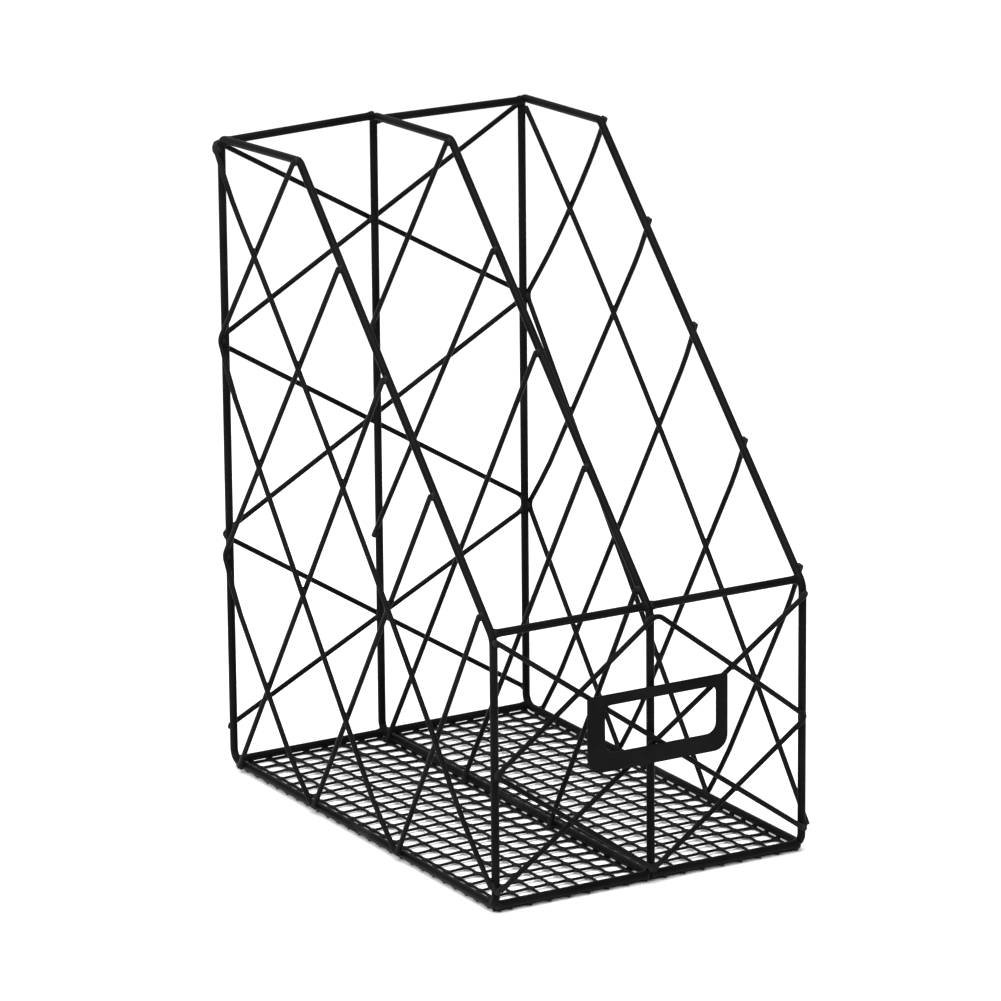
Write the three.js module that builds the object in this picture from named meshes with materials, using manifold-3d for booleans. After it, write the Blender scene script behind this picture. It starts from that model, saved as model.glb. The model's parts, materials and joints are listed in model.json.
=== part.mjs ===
// Desktop magazine file holder with two compartments, made of bent and welded steel wire.
// Millimetres, +Z up. The low front faces -Y and the tall back faces +Y.
// The origin is the middle of the footprint, on the surface that the holder stands on.
import * as THREE from 'three';
import { mergeVertices } from 'three/addons/utils/BufferGeometryUtils.js';
import Module from 'manifold-3d';

const wasm = await Module();
wasm.setup();

// Stock
const FRAME_WIRE = 3.5; // diameter of the frames and rails
const LATTICE_WIRE = 2.2; // diameter of the zigzag and diagonal wires
const STRAND = 1; // width of one strand of the base mesh
const MESH_THICKNESS = 1.7; // two crossing strands, pressed into each other by the weld
const PLATE_THICKNESS = 1; // sheet of the label holder
const WELD_GAP = 0.3; // clearance left between two welded pieces

// Frame outline, measured between wire centres
const WIDTH = 160; // left frame to right frame, with the divider half way
const DEPTH = 244; // front upright to back upright
const BEND = { backBottom: 6, backTop: 4, brow: 5, frontTop: 9, frontBottom: 5 };

// Corners of the three frames, which are bent one by one and differ by a few millimetres.
// The top edge runs from the back, rising a little, to the brow, where the slope starts.
const OUTLINES = {
  left: { back: 299.3, brow: 303.3, topEdge: 75, front: 123 },
  divider: { back: 300.8, brow: 303.1, topEdge: 72.3, front: 122.4 },
  right: { back: 300.1, brow: 302.4, topEdge: 71.5, front: 122.5 },
};

// Cross rails
const RAIL_INSET = 1.3; // the back rails and the bottom rails sit this far inside the uprights
const BACK_RAIL_HEIGHTS = { left: [298.4, 301], right: [299.1, 299] }; // from left to right
const FRONT_RAIL_RISE = 2.2; // the front top rails sit on the slope, just above the bend

// Side and divider lattice, as nodes on the slope, the back upright and the bottom wire
const SLOPE_NODES = {
  left: [-114, -72.5, -31.5, 8, 47.5],
  divider: [-114, -70.5, -29, 8.5, 49],
  right: [-116, -70, -27.5, 12, 51],
};
const BACK_NODES = { left: [100, 204, 295], divider: [97.5, 198.5], right: [100, 203.5, 295] };
const BOTTOM_NODES = [-38, 40, 112];
const FRONT_FOOT = 9; // height where the long diagonal starts on the front upright
const LONG_BOW = { left: 7, right: 10 }; // the long diagonal is sprung upward by this much in the middle

// Back lattice: heights at which a zigzag meets one outer upright and then the other. At a bend
// it runs down the upright, from the first height to the second.
const BACK_LEVELS = {
  left: [[297.5], [205, 201.5], [111, 109], [8]],
  right: [[297], [205, 201.5], [104, 97.5], [16]],
};

// Front lattice, as heights
const FALLING_ENDS = [122.5, 7.5]; // the front diagonals, from left to right
const RISING_ENDS = [6.5, 119];
const DIAMOND = { top: 121, middle: 61, bottom: 3, topOffset: 2 };

// Bends of the lattice wires
const OVERSHOOT = 0.8; // nodes lie this far outside the centre of the frame wire
const LATTICE_BEND = 4; // length of each leg that the bend takes up
const BEND_SHARE = 0.4; // and the most of a leg that it may take up
const RAMP = 30; // length over which a leg climbs to the outer layer

// Label holder. Its window sits a little to the right of the middle and above it.
const PLATE = { width: 72.7, height: 35.6, topCorner: 1.5, bottomCorner: 7 };
const WINDOW = { width: 57.7, height: 22, topCorner: 3, bottomCorner: 5 };
const PLATE_HEIGHT = 72.5; // middle of the plate above the bottom rails
const WINDOW_SHIFT = { x: 1.5, y: 1.7 };

// Base mesh
// Each set has an edge strand and then evenly spaced ones, measured from the left or the front.
const STRANDS_ALONG = { edge: 2.5, first: 8.3, pitch: 10, count: 16 };
const STRANDS_ACROSS = { edge: 3.5, first: 8.5, pitch: 9.76, count: 25 };
const MESH_INSET = 0.7; // the strands are cut this far inside the centres of the outer wires

// Faceting
const FRAME_SIDES = 10;
const LATTICE_SIDES = 8;
const BEND_STEPS = 5;
const BOW_STEPS = 8;
const CORNER_SEGMENTS = 4;

const halfWidth = WIDTH / 2;
const halfDepth = DEPTH / 2;
const frameRadius = FRAME_WIRE / 2;
const latticeRadius = LATTICE_WIRE / 2;
// The mesh lies under the bottom wires
const frameLift = MESH_THICKNESS + WELD_GAP + frameRadius;
// The label holder makes the front stand out further than the back
const frameShift = (WELD_GAP + PLATE_THICKNESS) / 2;
// Lattice wires lie in two layers outside the frames, so that crossing wires clear each other
const innerLayer = frameRadius + WELD_GAP + latticeRadius;
const outerLayer = innerLayer + LATTICE_WIRE + WELD_GAP;
const plateLayer = outerLayer + latticeRadius + WELD_GAP;

const holder = new THREE.Group();

function addPiece(name, geometry, lift = frameLift) {
  const powderCoat = { color: 0x1c1c1e, roughness: 0.45, metalness: 0.1 };
  const mesh = new THREE.Mesh(geometry, new THREE.MeshStandardMaterial(powderCoat));
  mesh.name = name;
  mesh.position.set(0, frameShift, lift);
  holder.add(mesh);
}

function direction(from, to) {
  return to.clone().sub(from).normalize();
}

// Curve that steps through the given points, so that an extrusion has one ring on each.
class WirePath extends THREE.Curve {
  constructor(points) {
    super();
    this.points = points;
  }

  indexAt(u) {
    return Math.round(u * (this.points.length - 1));
  }

  getPointAt(u, target = new THREE.Vector3()) {
    return target.copy(this.points[this.indexAt(u)]);
  }

  getTangentAt(u, target = new THREE.Vector3()) {
    const i = this.indexAt(u);
    target.set(0, 0, 0);
    if (i > 0) target.add(direction(this.points[i - 1], this.points[i]));
    if (i < this.points.length - 1) target.add(direction(this.points[i], this.points[i + 1]));
    return target.normalize();
  }
}

function roundSection(diameter, sides) {
  const corners = [];
  for (let k = 0; k < sides; k += 1) {
    const angle = (2 * Math.PI * (k + 0.5)) / sides;
    corners.push(new THREE.Vector2(Math.cos(angle), Math.sin(angle)).multiplyScalar(diameter / 2));
  }
  return new THREE.Shape(corners);
}

function wireGeometry(points, diameter, sides) {
  return new THREE.ExtrudeGeometry(roundSection(diameter, sides), {
    steps: points.length - 1,
    extrudePath: new WirePath(points),
  });
}

// Points of a circular bend that rounds off a corner.
function arcBend(before, corner, after, radius) {
  const back = direction(corner, before);
  const ahead = direction(corner, after);
  const halfAngle = back.angleTo(ahead) / 2;
  const bisector = back.clone().add(ahead).normalize();
  const centre = corner.clone().addScaledVector(bisector, radius / Math.sin(halfAngle));
  const tangentLength = radius / Math.tan(halfAngle);
  const firstSpoke = corner.clone().addScaledVector(back, tangentLength).sub(centre);
  const lastSpoke = corner.clone().addScaledVector(ahead, tangentLength).sub(centre);
  const axis = firstSpoke.clone().cross(lastSpoke).normalize();
  const turn = firstSpoke.angleTo(lastSpoke);
  const points = [];
  for (let step = 0; step <= BEND_STEPS; step += 1) {
    const spoke = firstSpoke.clone().applyAxisAngle(axis, (turn * step) / BEND_STEPS);
    points.push(spoke.add(centre));
  }
  return points;
}

// Rise of a frame's slope for each millimetre toward the back
function slopeRate({ brow, topEdge, front }) {
  return (brow - front) / (DEPTH - topEdge);
}

function slopeHeight(outline, y) {
  return Math.min(outline.brow, outline.front + (y + halfDepth) * slopeRate(outline));
}

// One five-sided frame: a single wire, bent round and butted in the middle of its bottom.
function addFrame(name, x, { back, brow, topEdge, front }) {
  const corners = [
    { y: halfDepth, z: 0, radius: BEND.backBottom },
    { y: halfDepth, z: back, radius: BEND.backTop },
    { y: halfDepth - topEdge, z: brow, radius: BEND.brow },
    { y: -halfDepth, z: front, radius: BEND.frontTop },
    { y: -halfDepth, z: 0, radius: BEND.frontBottom },
  ];
  const start = new THREE.Vector3(x, WELD_GAP / 2, 0);
  const end = new THREE.Vector3(x, -WELD_GAP / 2, 0);
  const places = corners.map(({ y, z }) => new THREE.Vector3(x, y, z));
  const stops = [start, ...places, end];
  const bends = corners.flatMap(({ radius }, i) =>
    arcBend(stops[i], stops[i + 1], stops[i + 2], radius));
  addPiece(name, wireGeometry([start, ...bends, end], FRAME_WIRE, FRAME_SIDES));
}

// A pair of straight rails, one across each compartment, butted to the frames on both sides.
// The heights are those of the left and right end of each rail.
function addRails(name, y, heights) {
  const inner = frameRadius + WELD_GAP;
  const outer = halfWidth - frameRadius - WELD_GAP;
  const spans = { left: [-outer, -inner], right: [inner, outer] };
  for (const [side, span] of Object.entries(spans)) {
    const points = span.map((x, i) => new THREE.Vector3(x, y, heights[side][i]));
    addPiece(`${name}_${side}`, wireGeometry(points, FRAME_WIRE, FRAME_SIDES));
  }
}

function level(z) {
  return { left: [z, z], right: [z, z] };
}

// Each panel turns a flat drawing into a place: along and up the panel, and outward from it.
const panels = {
  left: (y, z, layer) => new THREE.Vector3(-halfWidth - layer, y, z),
  right: (y, z, layer) => new THREE.Vector3(halfWidth + layer, y, z),
  divider: (y, z, layer) => new THREE.Vector3(-layer, y, z),
  back: (x, z, layer) => new THREE.Vector3(x, halfDepth + layer, z),
  front: (x, z, layer) => new THREE.Vector3(x, -halfDepth - layer, z),
};

// Points inside one leg. A leg that is told to climb passes over the others in the outer layer.
function legPoints(place, from, to, climbs, bow) {
  if (!climbs && bow === 0) return [];
  const layer = climbs ? outerLayer : innerLayer;
  const length = Math.hypot(to[0] - from[0], to[1] - from[1]);
  const steps = bow === 0 ? 1 : BOW_STEPS;
  const points = [];
  for (let step = 0; step <= steps; step += 1) {
    const t = (RAMP + ((length - 2 * RAMP) * step) / steps) / length;
    const along = from[0] + (to[0] - from[0]) * t;
    const up = from[1] + (to[1] - from[1]) * t + 4 * bow * t * (1 - t);
    points.push(place(along, up, layer));
  }
  return points;
}

// Where a bend at one node ends on the leg to the next. Two bends share a leg that is short.
function towards(node, next) {
  const reach = Math.min(LATTICE_BEND, BEND_SHARE * node.distanceTo(next));
  return node.clone().addScaledVector(direction(node, next), reach);
}

// A lattice wire from node to node, with a rounded bend at every node between its ends.
function addLatticeWire(name, place, nodes, climbing, bow = 0) {
  const places = nodes.map((node) => place(...node, innerLayer));
  const points = [];
  nodes.forEach((node, i) => {
    if (i === 0 || i === nodes.length - 1) {
      points.push(places[i]);
    } else {
      const start = towards(places[i], places[i - 1]);
      const end = towards(places[i], places[i + 1]);
      const bend = new THREE.QuadraticBezierCurve3(start, places[i], end);
      points.push(...bend.getPoints(BEND_STEPS));
    }
    if (i < nodes.length - 1) {
      points.push(...legPoints(place, node, nodes[i + 1], climbing.includes(i), bow));
    }
  });
  addPiece(name, wireGeometry(points, LATTICE_WIRE, LATTICE_SIDES));
}

// Side lattice nodes
function slopeNodes(panel) {
  const outline = OUTLINES[panel];
  const angle = Math.atan(slopeRate(outline));
  return SLOPE_NODES[panel].map((y) => [
    y - OVERSHOOT * Math.sin(angle),
    slopeHeight(outline, y) + OVERSHOOT * Math.cos(angle),
  ]);
}

function backNodes(panel) {
  return BACK_NODES[panel].map((z) => [halfDepth + OVERSHOOT, z]);
}

const bottomNodes = BOTTOM_NODES.map((y) => [y, -OVERSHOOT]);
const frontFoot = [-halfDepth - OVERSHOOT, FRONT_FOOT];

// Outer side lattice. Both sides are welded up alike, not mirrored, so the wires that rise toward
// the back lie outermost on the left, and the ones that fall lie outermost on the right.
function addSideLattice(side, risingOutside) {
  const place = panels[side];
  const tops = slopeNodes(side);
  const backs = backNodes(side);
  const upper = [tops[4], backs[1], bottomNodes[0], tops[0]];
  const lower = [tops[3], backs[0], bottomNodes[1], tops[1]];
  const zigzagClimbs = risingOutside ? [1] : [0, 2];
  const longClimbs = risingOutside ? [0] : [];
  const shortClimbs = risingOutside ? [] : [0];
  addLatticeWire(`${side}_zigzag_upper`, place, upper, zigzagClimbs);
  addLatticeWire(`${side}_zigzag_lower`, place, lower, zigzagClimbs);
  addLatticeWire(`${side}_long_diagonal`, place, [frontFoot, backs[2]], longClimbs, LONG_BOW[side]);
  addLatticeWire(`${side}_short_diagonal`, place, [tops[2], bottomNodes[2]], shortClimbs);
}

// Divider lattice: five straight wires that fall toward the back.
function addDividerLattice() {
  const ends = [...bottomNodes, ...backNodes('divider')];
  slopeNodes('divider').forEach((node, i) => {
    addLatticeWire(`divider_diagonal_${i + 1}`, panels.divider, [node, ends[i]], []);
  });
}

// Back lattice: two zigzags that mirror each other and cross on the divider.
function addBackLattice() {
  const reach = halfWidth + OVERSHOOT;
  const zigzag = (levels, start) => levels.flatMap((heights, i) =>
    heights.map((z) => [i % 2 === 0 ? start : -start, z]));
  addLatticeWire('back_zigzag_left', panels.back, zigzag(BACK_LEVELS.left, -reach), [0, 4]);
  addLatticeWire('back_zigzag_right', panels.back, zigzag(BACK_LEVELS.right, reach), [2]);
}

// Front lattice: a diamond over both compartments, crossed by two long diagonals.
function addFrontLattice() {
  const reach = halfWidth + OVERSHOOT;
  const falling = [[-reach, FALLING_ENDS[0]], [reach, FALLING_ENDS[1]]];
  const rising = [[-reach, RISING_ENDS[0]], [reach, RISING_ENDS[1]]];
  const diamond = [
    [OVERSHOOT, DIAMOND.bottom],
    [-reach, DIAMOND.middle],
    [DIAMOND.topOffset, DIAMOND.top + OVERSHOOT],
    [reach, DIAMOND.middle],
    [-OVERSHOOT, DIAMOND.bottom],
  ];
  addLatticeWire('front_diagonal_falling', panels.front, falling, [0]);
  addLatticeWire('front_diagonal_rising', panels.front, rising, []);
  addLatticeWire('front_diamond', panels.front, diamond, [0, 2]);
}

// Rectangle around a centre, with one radius for its top corners and one for its bottom corners.
function traceRoundedRectangle(path, { width, height, topCorner, bottomCorner }, centre) {
  const left = centre.x - width / 2;
  const right = centre.x + width / 2;
  const bottom = centre.y - height / 2;
  const top = centre.y + height / 2;
  path.moveTo(left + bottomCorner, bottom);
  path.absarc(right - bottomCorner, bottom + bottomCorner, bottomCorner, -Math.PI / 2, 0);
  path.absarc(right - topCorner, top - topCorner, topCorner, 0, Math.PI / 2);
  path.absarc(left + topCorner, top - topCorner, topCorner, Math.PI / 2, Math.PI);
  path.absarc(left + bottomCorner, bottom + bottomCorner, bottomCorner, Math.PI, 1.5 * Math.PI);
  return path;
}

// Label holder: a flat plate with a window, standing upright in front of the front lattice.
function addLabelHolder() {
  const outline = traceRoundedRectangle(new THREE.Shape(), PLATE, { x: 0, y: 0 });
  outline.holes.push(traceRoundedRectangle(new THREE.Path(), WINDOW, WINDOW_SHIFT));
  const geometry = new THREE.ExtrudeGeometry(outline, {
    depth: PLATE_THICKNESS,
    bevelEnabled: false,
    curveSegments: CORNER_SEGMENTS,
  });
  geometry.rotateX(Math.PI / 2);
  geometry.translate(0, -halfDepth - plateLayer, PLATE_HEIGHT);
  addPiece('label_holder', geometry);
}

function strandCentres({ edge, first, pitch, count }, start) {
  const even = Array.from({ length: count }, (_, i) => first + i * pitch);
  return [edge, ...even].map((distance) => start + distance);
}

function solidFrom(geometry) {
  geometry.deleteAttribute('normal');
  geometry.deleteAttribute('uv');
  const merged = mergeVertices(geometry);
  return new wasm.Manifold(new wasm.Mesh({
    numProp: 3,
    vertProperties: new Float32Array(merged.attributes.position.array),
    triVerts: new Uint32Array(merged.index.array),
  }));
}

function geometryFrom(solid) {
  const { vertProperties, triVerts } = solid.getMesh();
  const geometry = new THREE.BufferGeometry();
  geometry.setAttribute('position', new THREE.BufferAttribute(vertProperties, 3));
  geometry.setIndex(new THREE.BufferAttribute(triVerts, 1));
  geometry.computeVertexNormals();
  return geometry;
}

// Base mesh: strands in two crossing levels, fused where they touch. The strand ends lie under
// the frames and rails.
function addBaseMesh() {
  const lengthX = WIDTH - 2 * MESH_INSET;
  const lengthY = DEPTH - 2 * MESH_INSET;
  const across = strandCentres(STRANDS_ACROSS, -halfDepth).map((y) =>
    new THREE.BoxGeometry(lengthX, STRAND, STRAND).translate(0, y, STRAND / 2));
  const along = strandCentres(STRANDS_ALONG, -halfWidth).map((x) =>
    new THREE.BoxGeometry(STRAND, lengthY, STRAND).translate(x, 0, MESH_THICKNESS - STRAND / 2));
  const grid = [...across, ...along].map(solidFrom).reduce((sum, strand) => sum.add(strand));
  addPiece('base_mesh', geometryFrom(grid), 0);
}

const frontTop = level(OUTLINES.divider.front + FRONT_RAIL_RISE);
const frontTopY = -halfDepth + FRONT_RAIL_RISE / slopeRate(OUTLINES.divider);

addFrame('left_side_frame', -halfWidth, OUTLINES.left);
addFrame('divider_frame', 0, OUTLINES.divider);
addFrame('right_side_frame', halfWidth, OUTLINES.right);
addRails('back_top_rail', halfDepth - RAIL_INSET, BACK_RAIL_HEIGHTS);
addRails('back_bottom_rail', halfDepth - RAIL_INSET, level(0));
addRails('front_top_rail', frontTopY, frontTop);
addRails('front_bottom_rail', RAIL_INSET - halfDepth, level(0));
addSideLattice('left', true);
addSideLattice('right', false);
addDividerLattice();
addBackLattice();
addFrontLattice();
addLabelHolder();
addBaseMesh();

export default holder;
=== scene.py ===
"""Looks of the welded-wire magazine file holder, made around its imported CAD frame.

Every visible wire follows the centre line of its CAD node. The lattice wires and the label plate
then move in towards the frames, to where welds hold the real ones. Units are metres.
"""
import json
import math
import random

import bmesh
import bpy
from mathutils import Matrix, Vector


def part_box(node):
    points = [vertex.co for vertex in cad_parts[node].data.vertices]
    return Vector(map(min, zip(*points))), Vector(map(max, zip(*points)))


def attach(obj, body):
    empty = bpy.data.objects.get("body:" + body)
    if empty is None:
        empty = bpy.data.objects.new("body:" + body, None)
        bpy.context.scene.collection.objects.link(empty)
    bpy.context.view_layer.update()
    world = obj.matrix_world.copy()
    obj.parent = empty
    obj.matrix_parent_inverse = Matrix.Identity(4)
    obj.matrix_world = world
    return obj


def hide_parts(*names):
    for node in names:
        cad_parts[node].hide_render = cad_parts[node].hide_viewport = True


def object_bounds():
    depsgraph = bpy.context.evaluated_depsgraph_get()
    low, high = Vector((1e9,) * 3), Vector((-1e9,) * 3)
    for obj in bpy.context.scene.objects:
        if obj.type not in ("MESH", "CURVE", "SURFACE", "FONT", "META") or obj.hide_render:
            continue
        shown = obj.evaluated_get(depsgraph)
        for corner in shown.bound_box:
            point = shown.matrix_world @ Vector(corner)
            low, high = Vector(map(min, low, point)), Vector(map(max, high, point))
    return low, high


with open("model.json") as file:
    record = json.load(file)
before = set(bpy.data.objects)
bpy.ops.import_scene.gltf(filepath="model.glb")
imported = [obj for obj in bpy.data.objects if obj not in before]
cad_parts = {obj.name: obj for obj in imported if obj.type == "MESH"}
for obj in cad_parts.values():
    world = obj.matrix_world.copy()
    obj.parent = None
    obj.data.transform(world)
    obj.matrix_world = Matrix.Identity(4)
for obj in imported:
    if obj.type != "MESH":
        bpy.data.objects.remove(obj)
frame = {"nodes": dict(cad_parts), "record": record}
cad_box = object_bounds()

MM = 0.001
X_AXIS = Vector((1, 0, 0))
Y_AXIS = Vector((0, 1, 0))
Z_AXIS = Vector((0, 0, 1))
SEED = 7  # of everything random, so that each run gives the same result

# Wires
FRAME_RADIUS = 1.75 * MM
LATTICE_RADIUS = 1.1 * MM
COAT = 0.12 * MM  # the powder coat adds this much all round a frame or lattice wire
STRAND_RADIUS = 0.7 * MM
FRAME_SIDES = 20
LATTICE_SIDES = 16
STRAND_SIDES = 8
LEG_STEP = 12 * MM  # spacing of the rings along a straight leg
LONGEST_LEG = 1.5 * LEG_STEP  # the spacing never comes out wider than this
BEND_CUTS = 3  # legs made of one CAD leg on a bend
BEND_CHORD = 5 * MM  # CAD rings closer together than this are on a bend
STRAIGHT_RATIO = 2.5  # a leg this much longer than its neighbour sets the direction between them
CUT_ROUNDING = 0.3 * MM
CUT_SHARE = 0.3  # the ring in the middle of a rounded rim is this share of the way along it
FRONT_TRIM = 2 * MM  # the front diagonals are cut short of the outer uprights' far sides

# Reading the CAD wires
MERGE_GAP = 1e-6  # vertices closer together than this are one
CAP_SPAN = 2.02  # no edge on the end of a CAD wire is longer than this many of its radii

# Lattice layers. The CAD wires lie in two layers that clear the frame and each other. The welds
# press the real ones together, so the wires are drawn in closer to the frame.
CAD_LAYERS = (3.15 * MM, 5.65 * MM)  # inner and outer layer, from the plane of the frame wires
PRESSED_LAYERS = (2.7 * MM, 4.8 * MM)
PANELS = {  # which box the panel lies on, the axis across it and the way that is outward
    "left": ("left_side_frame", 0, -1),
    "right": ("right_side_frame", 0, 1),
    "divider": ("divider_frame", 0, -1),
    "back": ("divider_frame", 1, 1),
    "front": ("divider_frame", 1, -1),
}

# Welds. The sizes of a weld are its half lengths along, across and away from a wire.
WELD_REACH = 0.3 * MM  # wires whose surfaces come closer than this are welded
WELD_SPACING = 9 * MM  # one weld does for all the near places within this distance
PARALLEL = 1e-15  # legs that give less than this in nearest_on_legs are taken as parallel
FRAME_WELD = (2.5 * MM, 1.75 * MM, 1.35 * MM)  # a lattice wire on a frame
LATTICE_WELD = (1.7 * MM, 1.7 * MM, 0.85 * MM)  # two lattice wires that cross
CORNER_WELD = (3.4 * MM, 2.5 * MM, 1.9 * MM)  # the heavy weld at the left frame's top back corner
SEAM_WELD = (1.6 * MM, 2 * MM, 2 * MM)  # closes the butted ends of a frame
RIM_WELD = (1.4 * MM, 1.3 * MM, 0.8 * MM)  # the mesh under a bottom wire
RIM_RISE = 0.1 * MM  # height of the middle of a rim weld above the mesh
NUGGET_CUTS = 2
NUGGET_LUMPS = 0.05  # a weld's surface is up to this share of its size too high or too low
BUTT_FLARE = 1.22  # a rail is this much thicker where it is welded to a frame
BUTT_SHOULDER = 0.3  # halfway along, the flare is down to this share
BUTT_LENGTH = 2.2 * MM
BUTT_OVERLAP = 1.2 * MM  # how far a rail's weld runs on into the frame

# Base mesh. Each set of strands has one at the edge and then evenly spaced ones.
STRANDS_ALONG = {"edge": 2.5 * MM, "first": 8.3 * MM, "pitch": 10 * MM, "count": 16}
STRANDS_ACROSS = {"edge": 3.5 * MM, "first": 8.5 * MM, "pitch": 9.76 * MM, "count": 25}
STRAND_INSET = 0.7 * MM  # the strands are cut this far inside the centres of the outer wires
STRAND_STEP = 5 * MM
STRAND_WANDER = 0.06 * MM
MESH_BOW = 1.1 * MM  # the mesh bulges upward by this much in the middle of each compartment
BOW_RUN = 30 * MM  # and reaches that height this far from the front and back edges
WEB = (2.1 * MM, 2.1 * MM, 0.8 * MM)  # half lengths of the flattened web at each crossing

# Label plate. Its corners are listed anticlockwise from the bottom left.
PLATE_CORNERS = (7 * MM, 7 * MM, 1.5 * MM, 1.5 * MM)
WINDOW_CORNERS = (5 * MM, 5 * MM, 3 * MM, 3 * MM)
CORNER_SIGNS = ((-1, -1), (1, -1), (1, 1), (-1, 1))
CORNER_CUTS = 8
WINDOW_SIZE = (57.7 * MM, 22 * MM)
WINDOW_SHIFT = (1.5 * MM, 1.7 * MM)
PLATE_EDGE = 0.3 * MM
PLATE_EDGE_CUTS = 3
PLATE_EDGE_ANGLE = math.radians(50)  # only edges sharper than this are softened

# Coat
SLOTS = ("frame_coat", "lattice_coat", "mesh_coat", "plate_coat")
SLOT_SHIFT = (1, 0.7, 1.3)  # metres between the patterns of one slot and the next
SHEEN = 0.035  # how strongly the satin coat reflects
PATCHES = {"Scale": 35, "Detail": 4, "Roughness": 0.6}
PEEL = {"Scale": 1400, "Detail": 2, "Roughness": 0.5}
GRIT = {"Scale": 5200, "Detail": 1, "Roughness": 0.5}
TONE_STOPS = (0.3, 0.7)  # where in the patches the coat is darkest and lightest
TONE_SHARES = (0.1, 0.4)  # and its tones there, as shares of the record's colour
WEAR = {"From Min": 0.53, "From Max": 0.62, "To Max": 0.35}  # pointiness to wear
WORN_COLOUR = (0.03, 0.03, 0.032, 1)  # what a ridge turns to, in the share that WEAR gives
GLOSS = {"To Min": 0.36, "To Max": 0.5}  # roughness, from patch to patch
PEEL_BUMP = {"Strength": 0.35, "Distance": 0.06 * MM}
GRIT_BUMP = {"Strength": 0.25, "Distance": 0.02 * MM}

# Camera and stage
CAMERA_PLACE = (-1.4064, -2.4019, 0.9398)
CAMERA_TARGET = (-0.0042, 0.0013, 0.1483)
CAMERA_ROLL = math.radians(-0.52)
CAMERA_LENS = 228.5
CAMERA_REACH = 50
FLOOR_SIZE = 14
FLOOR_COLOUR = (0.98, 0.98, 0.98, 1)
FLOOR_ROUGHNESS = 0.8
WORLD_COLOUR = (1, 1, 1, 1)
WORLD_STRENGTH = 0.8
LIGHTS = {  # place, target, side of the square and power
    "overhead": ((-0.4, -0.3, 1.6), (0, 0, 0.1), 1.6, 36),
    "left_softbox": ((-1.6, -0.9, 1.1), (0, 0, 0.15), 1.0, 20),
}

rng = random.Random(SEED)
nodes = frame["nodes"]


# ---------------------------------------------------------------- centre lines of the CAD wires

def spread(found, reach=math.inf):
    """Adds to found the vertices one edge away, over edges no longer than reach, and returns them."""
    fresh = {e.other_vert(v) for v in found for e in v.link_edges if e.calc_length() <= reach}
    fresh -= found
    found |= fresh
    return fresh


def centre_line(node, radius):
    """The centres of the rings that the CAD wire was swept through, from one end to the other."""
    bm = bmesh.new()
    bm.from_mesh(nodes[node].data)
    bmesh.ops.remove_doubles(bm, verts=bm.verts, dist=MERGE_GAP)
    bm.verts.ensure_lookup_table()
    bm.verts.index_update()
    layer = seen = {bm.verts[0]}
    while layer:  # the last layer that the spread reaches is at an end of the wire
        tip = min(layer, key=lambda v: v.index)
        layer = spread(seen)
    ring = {tip}
    while spread(ring, CAP_SPAN * radius):
        pass
    seen = set(ring)
    centres = []
    while ring:
        in_order = sorted(ring, key=lambda v: v.index)  # so that each run adds up the same way
        centres.append(sum((v.co for v in in_order), Vector()) / len(ring))
        ring = spread(seen)
    bm.free()
    return centres


def directions(points):
    """The direction of a wire at each of its points. A long straight leg keeps its own direction."""
    legs = [b - a for a, b in zip(points, points[1:])]
    found = [legs[0].normalized()]
    for before, after in zip(legs, legs[1:]):
        if before.length > STRAIGHT_RATIO * after.length:
            found.append(before.normalized())
        elif after.length > STRAIGHT_RATIO * before.length:
            found.append(after.normalized())
        else:
            found.append((before.normalized() + after.normalized()).normalized())
    return found + [legs[-1].normalized()]


def smooth_line(points):
    """A cubic curve through the wire's points, with enough points of its own for round bends."""
    aims = directions(points)
    line = []
    for a, b, start, end in zip(points, points[1:], aims, aims[1:]):
        length = (b - a).length
        steps = BEND_CUTS if length < BEND_CHORD else max(1, round(length / LEG_STEP))
        for i in range(steps):
            t = i / steps
            line.append(
                a * (2 * t**3 - 3 * t**2 + 1)
                + start * length * (t**3 - 2 * t**2 + t)
                + b * (3 * t**2 - 2 * t**3)
                + end * length * (t**3 - t**2)
            )
    return line + [points[-1]]


def panel_plane(panel):
    """The coordinate of the plane through the frame wires that the panel is welded to."""
    frame_node, axis, outward = PANELS[panel]
    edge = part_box(frame_node)[1 if outward > 0 else 0][axis]
    return edge - outward * FRAME_RADIUS


def press_in(node, points):
    """Moves a lattice wire's points from their clear layers in the CAD to the pressed ones."""
    panel = node.split("_")[0]
    _, axis, outward = PANELS[panel]
    plane = panel_plane(panel)
    squeeze = (PRESSED_LAYERS[1] - PRESSED_LAYERS[0]) / (CAD_LAYERS[1] - CAD_LAYERS[0])
    for point in points:
        layer = outward * (point[axis] - plane)
        pressed = PRESSED_LAYERS[0] + (layer - CAD_LAYERS[0]) * squeeze
        point[axis] = plane + outward * pressed
    return points


# ---------------------------------------------------------------- mesh tools

def link(name, bm, slot, replaced=(), smooth=True):
    """Makes an object of bm that rides on the holder and stands for the replaced CAD nodes."""
    mesh = bpy.data.meshes.new(name)
    low, high = cad_box
    for vertex in bm.verts:  # nothing reaches outside the CAD's own box
        vertex.co = [min(max(c, a), b) for c, a, b in zip(vertex.co, low, high)]
    bmesh.ops.recalc_face_normals(bm, faces=bm.faces)
    bm.to_mesh(mesh)
    bm.free()
    for polygon in mesh.polygons:
        polygon.use_smooth = smooth
    obj = bpy.data.objects.new(name, mesh)
    bpy.context.scene.collection.objects.link(obj)
    mesh.materials.append(materials[slot])
    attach(obj, "root")
    if replaced:
        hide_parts(*replaced)
    return obj


def bridge(bm, loop, other):
    """Adds the faces between two closed loops of as many vertices."""
    for i in range(len(loop)):
        n = (i + 1) % len(loop)
        bm.faces.new((loop[i], loop[n], other[n], other[i]))


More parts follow.
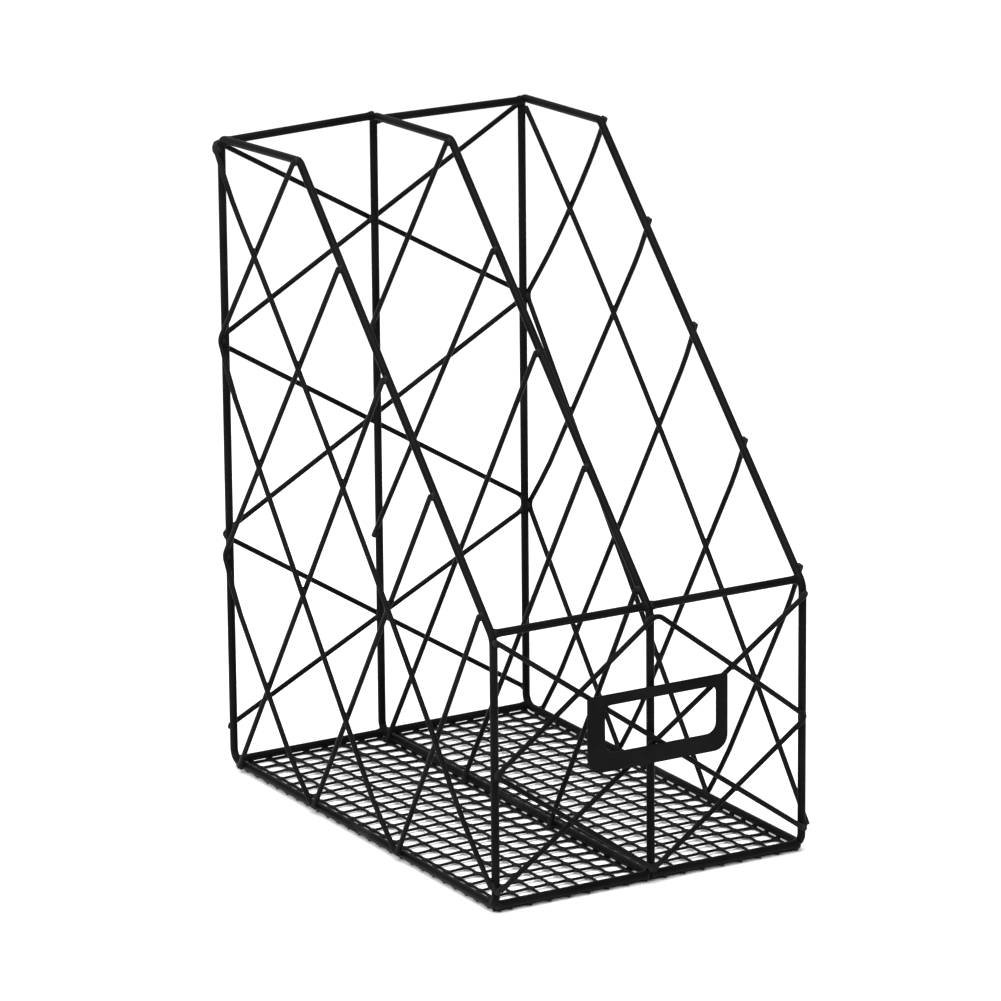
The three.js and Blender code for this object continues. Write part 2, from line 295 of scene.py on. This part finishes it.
def add_tube(bm, line, radii, sides):
    """Adds a closed tube along line, with its own radius at each point."""
    side = (line[1] - line[0]).orthogonal().normalized()
    rings = []
    for i, (point, radius) in enumerate(zip(line, radii)):
        aim = (line[min(i + 1, len(line) - 1)] - line[max(i - 1, 0)]).normalized()
        side = (side - aim * side.dot(aim)).normalized()
        other = aim.cross(side)
        ring = []
        for k in range(sides):
            angle = 2 * math.pi * k / sides
            spoke = side * math.cos(angle) + other * math.sin(angle)
            ring.append(bm.verts.new(point + spoke * radius))
        rings.append(ring)
    for ring, following in zip(rings, rings[1:]):
        bridge(bm, ring, following)
    bm.faces.new(rings[0])
    bm.faces.new(rings[-1])


def with_cut_ends(line, radius):
    """The line and radii of a wire whose two cut ends have softly rounded rims."""
    points, radii = list(line), [radius] * len(line)
    for end, inward in ((0, 1), (-1, -2)):
        tip = points[end]
        aim = (points[inward] - tip).normalized()
        rim = [tip, tip + aim * CUT_ROUNDING * CUT_SHARE, tip + aim * CUT_ROUNDING]
        rim_radii = [radius - CUT_ROUNDING, radius - CUT_ROUNDING * CUT_SHARE, radius]
        if end == 0:
            points[:1], radii[:1] = rim, rim_radii
        else:
            points[-1:], radii[-1:] = rim[::-1], rim_radii[::-1]
    return points, radii


def add_nugget(bm, centre, along, normal, sizes):
    """Adds a weld nugget: a lumpy ellipsoid whose half lengths are along, across and normal."""
    across = normal.cross(along).normalized()
    along = across.cross(normal).normalized()
    turn = Matrix((along, across, normal)).transposed()
    ball = bmesh.ops.create_icosphere(bm, subdivisions=NUGGET_CUTS, radius=1)["verts"]
    for vertex in ball:
        lump = 1 + rng.uniform(-NUGGET_LUMPS, NUGGET_LUMPS)
        vertex.co = centre + turn @ Vector(c * s * lump for c, s in zip(vertex.co, sizes))


# ---------------------------------------------------------------- materials

def add_node(tree, kind, **settings):
    """Adds a shader node and sets its properties and inputs, which are given by name."""
    node = tree.nodes.new(kind)
    for name, value in settings.items():
        if hasattr(node, name):
            setattr(node, name, value)
        else:
            node.inputs[name].default_value = value
    return node


def add_noises(tree, seed):
    """The patches, orange peel and grit of a coat, in a pattern that differs with seed."""
    place = add_node(tree, "ShaderNodeTexCoord")
    shift = add_node(tree, "ShaderNodeMapping", Location=[seed * s for s in SLOT_SHIFT])
    tree.links.new(place.outputs["Object"], shift.inputs["Vector"])
    outputs = []
    for settings in (PATCHES, PEEL, GRIT):
        noise = add_node(tree, "ShaderNodeTexNoise", **settings)
        tree.links.new(shift.outputs["Vector"], noise.inputs["Vector"])
        outputs.append(noise.outputs["Fac"])
    return outputs


def add_coat_colour(tree, base, patches):
    """A coat's colour: faint patches of tone, and paler ridges where it is worn."""
    tone = add_node(tree, "ShaderNodeValToRGB")
    for element, stop, share in zip(tone.color_ramp.elements, TONE_STOPS, TONE_SHARES):
        element.position = stop
        element.color = [c * share for c in base] + [1]
    tree.links.new(patches, tone.inputs["Fac"])
    ridge = add_node(tree, "ShaderNodeNewGeometry")
    worn = add_node(tree, "ShaderNodeMapRange", **WEAR)
    tree.links.new(ridge.outputs["Pointiness"], worn.inputs["Value"])
    paler = add_node(tree, "ShaderNodeMix", data_type="RGBA", B=WORN_COLOUR)
    tree.links.new(worn.outputs["Result"], paler.inputs["Factor"])
    tree.links.new(tone.outputs["Color"], paler.inputs["A"])
    return paler.outputs["Result"]


def add_coat_bump(tree, peel, grit):
    """A coat's surface: fine grit on orange peel."""
    coarse = add_node(tree, "ShaderNodeBump", **PEEL_BUMP)
    tree.links.new(peel, coarse.inputs["Height"])
    fine = add_node(tree, "ShaderNodeBump", **GRIT_BUMP)
    tree.links.new(grit, fine.inputs["Height"])
    tree.links.new(coarse.outputs["Normal"], fine.inputs["Normal"])
    return fine.outputs["Normal"]


def powder_coat(slot, seed):
    """Black satin powder coat, in the tone that the record gives for the slot."""
    record = next(m for m in frame["record"]["materials"] if m["slot"] == slot)
    material = bpy.data.materials.new(slot)
    material.use_nodes = True
    tree = material.node_tree
    shader = tree.nodes["Principled BSDF"]
    shader.inputs["Specular IOR Level"].default_value = SHEEN
    patches, peel, grit = add_noises(tree, seed)
    colour = add_coat_colour(tree, record["base_color"][:3], patches)
    tree.links.new(colour, shader.inputs["Base Color"])
    gloss = add_node(tree, "ShaderNodeMapRange", **GLOSS)
    tree.links.new(patches, gloss.inputs["Value"])
    tree.links.new(gloss.outputs["Result"], shader.inputs["Roughness"])
    tree.links.new(add_coat_bump(tree, peel, grit), shader.inputs["Normal"])
    return material


materials = {slot: powder_coat(slot, seed) for seed, slot in enumerate(SLOTS)}


# ---------------------------------------------------------------- frames, rails and lattice

def make_frame(node):
    """A side frame: one bent wire whose two ends are butted and welded shut. Returns its line."""
    centres = centre_line(node, FRAME_RADIUS)
    line = smooth_line(centres)
    bm = bmesh.new()
    add_tube(bm, line, [FRAME_RADIUS + COAT] * len(line), FRAME_SIDES)
    seam = (centres[0] + centres[-1]) / 2
    aim = (centres[1] - centres[0]).normalized()
    add_nugget(bm, seam, aim, Z_AXIS, SEAM_WELD)
    link(node + "_wire", bm, "frame_coat", [node])
    return line


def make_rail(node):
    """A cross rail whose ends thicken into the welds that hold it to the frames."""
    a, b = centre_line(node, FRAME_RADIUS)
    aim = (b - a).normalized()
    a, b = a - aim * BUTT_OVERLAP, b + aim * BUTT_OVERLAP
    length = (b - a).length
    steps = round(length / LEG_STEP)
    end = [0, BUTT_OVERLAP, BUTT_OVERLAP + BUTT_LENGTH / 2, BUTT_OVERLAP + BUTT_LENGTH]
    flares = [BUTT_FLARE, BUTT_FLARE, 1 + (BUTT_FLARE - 1) * BUTT_SHOULDER, 1]
    middle = [length * i / steps for i in range(1, steps)]
    stops = end + middle + [length - s for s in reversed(end)]
    radii = [(FRAME_RADIUS + COAT) * f for f in flares + [1] * len(middle) + flares[::-1]]
    bm = bmesh.new()
    add_tube(bm, [a + aim * s for s in stops], radii, FRAME_SIDES)
    link(node + "_wire", bm, "frame_coat", [node])


def make_lattice_wire(node):
    """A round wire along the node's centre line, pressed in to its panel. Returns its line."""
    line = smooth_line(press_in(node, centre_line(node, LATTICE_RADIUS)))
    if node.startswith("front_diagonal"):
        line[0] += (line[1] - line[0]).normalized() * FRONT_TRIM
        line[-1] += (line[-2] - line[-1]).normalized() * FRONT_TRIM
    points, radii = with_cut_ends(line, LATTICE_RADIUS + COAT)
    bm = bmesh.new()
    add_tube(bm, points, radii, LATTICE_SIDES)
    link(node + "_wire", bm, "lattice_coat", [node])
    return line


FRAMES = [n for n in nodes if n.endswith("_frame")]
RAILS = [n for n in nodes if "_rail_" in n]
LATTICE = [n for n in nodes if "zigzag" in n or "diagonal" in n or "diamond" in n]

wires = {n: (make_frame(n), FRAME_RADIUS) for n in FRAMES}
for rail in RAILS:
    make_rail(rail)
for wire in LATTICE:
    wires[wire] = (make_lattice_wire(wire), LATTICE_RADIUS)


# ---------------------------------------------------------------- welds between wires

def nearest_on_legs(a, b, c, d):
    """The closest points of the segments a-b and c-d."""
    u, v, w = b - a, d - c, a - c
    uu, uv, vv, uw, vw = u.dot(u), u.dot(v), v.dot(v), u.dot(w), v.dot(w)
    spare = uu * vv - uv * uv
    s = min(1, max(0, (uv * vw - vv * uw) / spare)) if spare > PARALLEL else 0
    t = min(1, max(0, (uv * s + vw) / vv))
    s = min(1, max(0, (uv * t - uw) / uu))
    return a + u * s, c + v * t


def near_places(one, other):
    """Where two wires nearly touch, as (distance, point on one, point on other, direction of one)."""
    (line, radius), (other_line, other_radius) = wires[one], wires[other]
    reach = radius + other_radius + WELD_REACH
    found = []
    for a, b in zip(line, line[1:]):
        for c, d in zip(other_line, other_line[1:]):
            if ((a + b) / 2 - (c + d) / 2).length > LONGEST_LEG + reach:
                continue
            p, q = nearest_on_legs(a, b, c, d)
            if (p - q).length < reach:
                found.append(((p - q).length, p, q, (b - a).normalized()))
    kept = []
    for place in sorted(found, key=lambda f: f[0]):
        if all((place[1] - k[1]).length > WELD_SPACING for k in kept):
            kept.append(place)
    return kept


def add_welds(bm, one, other):
    """Adds a nugget at each place where the lattice wire one nearly touches the other wire."""
    for _, p, q, aim in near_places(one, other):
        normal = (q - p).normalized()
        if other in LATTICE:
            add_nugget(bm, (p + q) / 2, aim, normal, LATTICE_WELD)
        else:
            add_nugget(bm, p + normal * LATTICE_RADIUS, aim, normal, FRAME_WELD)


def add_corner_weld(bm):
    """Adds the weld that joins the side and back lattices at the top of the left frame."""
    side_end = max(wires["left_long_diagonal"][0], key=lambda p: p.z)
    back_end = min(wires["back_zigzag_left"][0], key=lambda p: (p - side_end).length)
    corner = (side_end + back_end) / 2
    corner.z = side_end.z
    outward = (Y_AXIS - X_AXIS).normalized()
    add_nugget(bm, corner, Z_AXIS, outward, CORNER_WELD)


def make_lattice_welds():
    """The welds of the lattice wires to the frames and to each other, each pair taken once."""
    bm = bmesh.new()
    for one in LATTICE:
        for other in sorted(wires):
            if other in FRAMES or other > one:
                add_welds(bm, one, other)
    add_corner_weld(bm)
    link("lattice_welds", bm, "lattice_coat")


make_lattice_welds()


# ---------------------------------------------------------------- base mesh

def strand_places(start, edge, first, pitch, count):
    """Where the strands of one set lie, measured from the wire that they start under."""
    return [start + edge] + [start + first + i * pitch for i in range(count)]


# Where the centres of the outer wires and of the divider lie
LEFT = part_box("left_side_frame")[0].x + FRAME_RADIUS
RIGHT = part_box("right_side_frame")[0].x + FRAME_RADIUS
MIDDLE = (LEFT + RIGHT) / 2
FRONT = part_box("divider_frame")[0].y + FRAME_RADIUS
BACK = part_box("divider_frame")[1].y - FRAME_RADIUS

# Places of the strands that run along and across, and levels of the lower and upper set
ALONG_XS = strand_places(LEFT, **STRANDS_ALONG)
ACROSS_YS = strand_places(FRONT, **STRANDS_ACROSS)
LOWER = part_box("base_mesh")[0].z + STRAND_RADIUS
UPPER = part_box("base_mesh")[1].z - STRAND_RADIUS


def bow(x, y):
    """How far the mesh bulges upward at x, y."""
    across = abs(math.sin(math.pi * (x - LEFT) / (MIDDLE - LEFT)))
    inset = min(y - FRONT, BACK - y)
    along = math.sin(math.pi / 2 * min(1, max(0, inset / BOW_RUN)))
    return MESH_BOW * across * along


def add_strand(bm, start, end, wander):
    """Adds a strand that follows the bow, and strays a little in the direction wander."""
    steps = round((end - start).length / STRAND_STEP)
    line = [start.lerp(end, i / steps) for i in range(steps + 1)]
    for point in line:
        point.z += bow(point.x, point.y)
    for point in line[1:-1]:
        point += wander * rng.uniform(-STRAND_WANDER, STRAND_WANDER)
    points, radii = with_cut_ends(line, STRAND_RADIUS)
    add_tube(bm, points, radii, STRAND_SIDES)


def make_strands():
    """Round strands, the set that runs along just above the set that runs across."""
    bm = bmesh.new()
    for y in ACROSS_YS:
        start = Vector((LEFT + STRAND_INSET, y, LOWER))
        end = Vector((RIGHT - STRAND_INSET, y, LOWER))
        add_strand(bm, start, end, Y_AXIS)
    for x in ALONG_XS:
        start = Vector((x, FRONT + STRAND_INSET, UPPER))
        end = Vector((x, BACK - STRAND_INSET, UPPER))
        add_strand(bm, start, end, X_AXIS)
    link("base_mesh_strands", bm, "mesh_coat", ["base_mesh"])


def make_webs():
    """The flattened web at every crossing of two strands."""
    bm = bmesh.new()
    for x in ALONG_XS:
        for y in ACROSS_YS:
            centre = Vector((x, y, (LOWER + UPPER) / 2 + bow(x, y)))
            add_nugget(bm, centre, X_AXIS, Z_AXIS, WEB)
    link("base_mesh_webs", bm, "mesh_coat")


def make_rim_welds():
    """The welds of the strands to the bottom wires of the frames and rails above them."""
    bm = bmesh.new()
    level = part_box("base_mesh")[1].z + RIM_RISE
    for y in ACROSS_YS[1:-1]:
        for x in (LEFT + STRAND_INSET, MIDDLE, RIGHT - STRAND_INSET):
            add_nugget(bm, Vector((x, y, level)), Y_AXIS, Z_AXIS, RIM_WELD)
    for rail in ("front_bottom_rail_left", "back_bottom_rail_left"):
        y = sum(corner.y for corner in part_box(rail)) / 2
        for x in ALONG_XS[1:]:
            add_nugget(bm, Vector((x, y, level)), X_AXIS, Z_AXIS, RIM_WELD)
    link("base_rim_welds", bm, "mesh_coat")


make_strands()
make_webs()
make_rim_welds()


# ---------------------------------------------------------------- label plate

def rounded_outline(centre, size, corners):
    """Points of a rectangle with rounded corners, anticlockwise from the bottom left."""
    points = []
    half = (size[0] / 2, size[1] / 2)
    for k, (radius, sign) in enumerate(zip(corners, CORNER_SIGNS)):
        hub = [centre[i] + sign[i] * (half[i] - radius) for i in range(2)]
        for step in range(CORNER_CUTS + 1):
            angle = math.pi * (1 + k / 2) + math.pi / 2 * step / CORNER_CUTS
            points.append((hub[0] + radius * math.cos(angle), hub[1] + radius * math.sin(angle)))
    return points


def add_plate_face(bm, y, outlines):
    """Adds one flat face of the plate, between its outline and its window. Returns their loops."""
    loops = [[bm.verts.new((x, y, z)) for x, z in outline] for outline in outlines]
    bridge(bm, *loops)
    return loops


def soften_edges(plate):
    """Rounds off the sharp edges of the plate."""
    bevel = plate.modifiers.new("soft_edges", "BEVEL")
    bevel.width = PLATE_EDGE
    bevel.segments = PLATE_EDGE_CUTS
    bevel.limit_method = "ANGLE"
    bevel.angle_limit = PLATE_EDGE_ANGLE


def make_label_plate():
    """A sheet-metal plate with a window and softened edges, tight against the front lattice."""
    low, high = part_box("label_holder")
    wires_front = panel_plane("front") - PRESSED_LAYERS[1] - LATTICE_RADIUS
    push = Vector((0, wires_front - high.y, 0))
    low, high = low + push, high + push
    size = (high.x - low.x, high.z - low.z)
    centre = ((low.x + high.x) / 2, (low.z + high.z) / 2)
    shifted = (centre[0] + WINDOW_SHIFT[0], centre[1] + WINDOW_SHIFT[1])
    outer = rounded_outline(centre, size, PLATE_CORNERS)
    window = rounded_outline(shifted, WINDOW_SIZE, WINDOW_CORNERS)
    bm = bmesh.new()
    front_loops = add_plate_face(bm, low.y, (outer, window))
    back_loops = add_plate_face(bm, high.y, (outer, window))
    for front_loop, back_loop in zip(front_loops, back_loops):
        bridge(bm, front_loop, back_loop)
    plate = link("label_plate", bm, "plate_coat", ["label_holder"], smooth=False)
    soften_edges(plate)


make_label_plate()


# ---------------------------------------------------------------- floor, light and camera

def make_floor():
    """A plain pale floor."""
    bm = bmesh.new()
    bmesh.ops.create_grid(bm, x_segments=1, y_segments=1, size=FLOOR_SIZE / 2)
    mesh = bpy.data.meshes.new("floor")
    bm.to_mesh(mesh)
    bm.free()
    floor = bpy.data.objects.new("floor", mesh)
    bpy.context.scene.collection.objects.link(floor)
    material = bpy.data.materials.new("pale_floor")
    material.use_nodes = True
    shader = material.node_tree.nodes["Principled BSDF"]
    shader.inputs["Base Color"].default_value = FLOOR_COLOUR
    shader.inputs["Roughness"].default_value = FLOOR_ROUGHNESS
    mesh.materials.append(material)


def make_area_light(name, place, target, side, power):
    """A square soft light at place, turned towards target."""
    light = bpy.data.lights.new(name, "AREA")
    light.shape = "SQUARE"
    light.size = side
    light.energy = power
    obj = bpy.data.objects.new(name, light)
    obj.location = place
    aim = Vector(target) - Vector(place)
    obj.rotation_euler = aim.to_track_quat("-Z", "Y").to_euler()
    bpy.context.scene.collection.objects.link(obj)


def make_world():
    """Even white light from all round."""
    world = bpy.data.worlds.new("studio")
    world.use_nodes = True
    background = world.node_tree.nodes["Background"]
    background.inputs["Color"].default_value = WORLD_COLOUR
    background.inputs["Strength"].default_value = WORLD_STRENGTH
    bpy.context.scene.world = world


def make_camera():
    """The camera, at the photograph's viewing angle."""
    data = bpy.data.cameras.new("camera")
    data.lens = CAMERA_LENS
    data.clip_end = CAMERA_REACH
    camera = bpy.data.objects.new("camera", data)
    camera.location = CAMERA_PLACE
    aim = Vector(CAMERA_TARGET) - Vector(CAMERA_PLACE)
    turn = aim.to_track_quat("-Z", "Y").to_matrix() @ Matrix.Rotation(CAMERA_ROLL, 3, "Z")
    camera.rotation_euler = turn.to_euler()
    bpy.context.scene.collection.objects.link(camera)
    bpy.context.scene.camera = camera


make_floor()
make_world()
for name, settings in LIGHTS.items():
    make_area_light(name, *settings)
make_camera()
bpy.context.scene.view_settings.view_transform = "Standard"
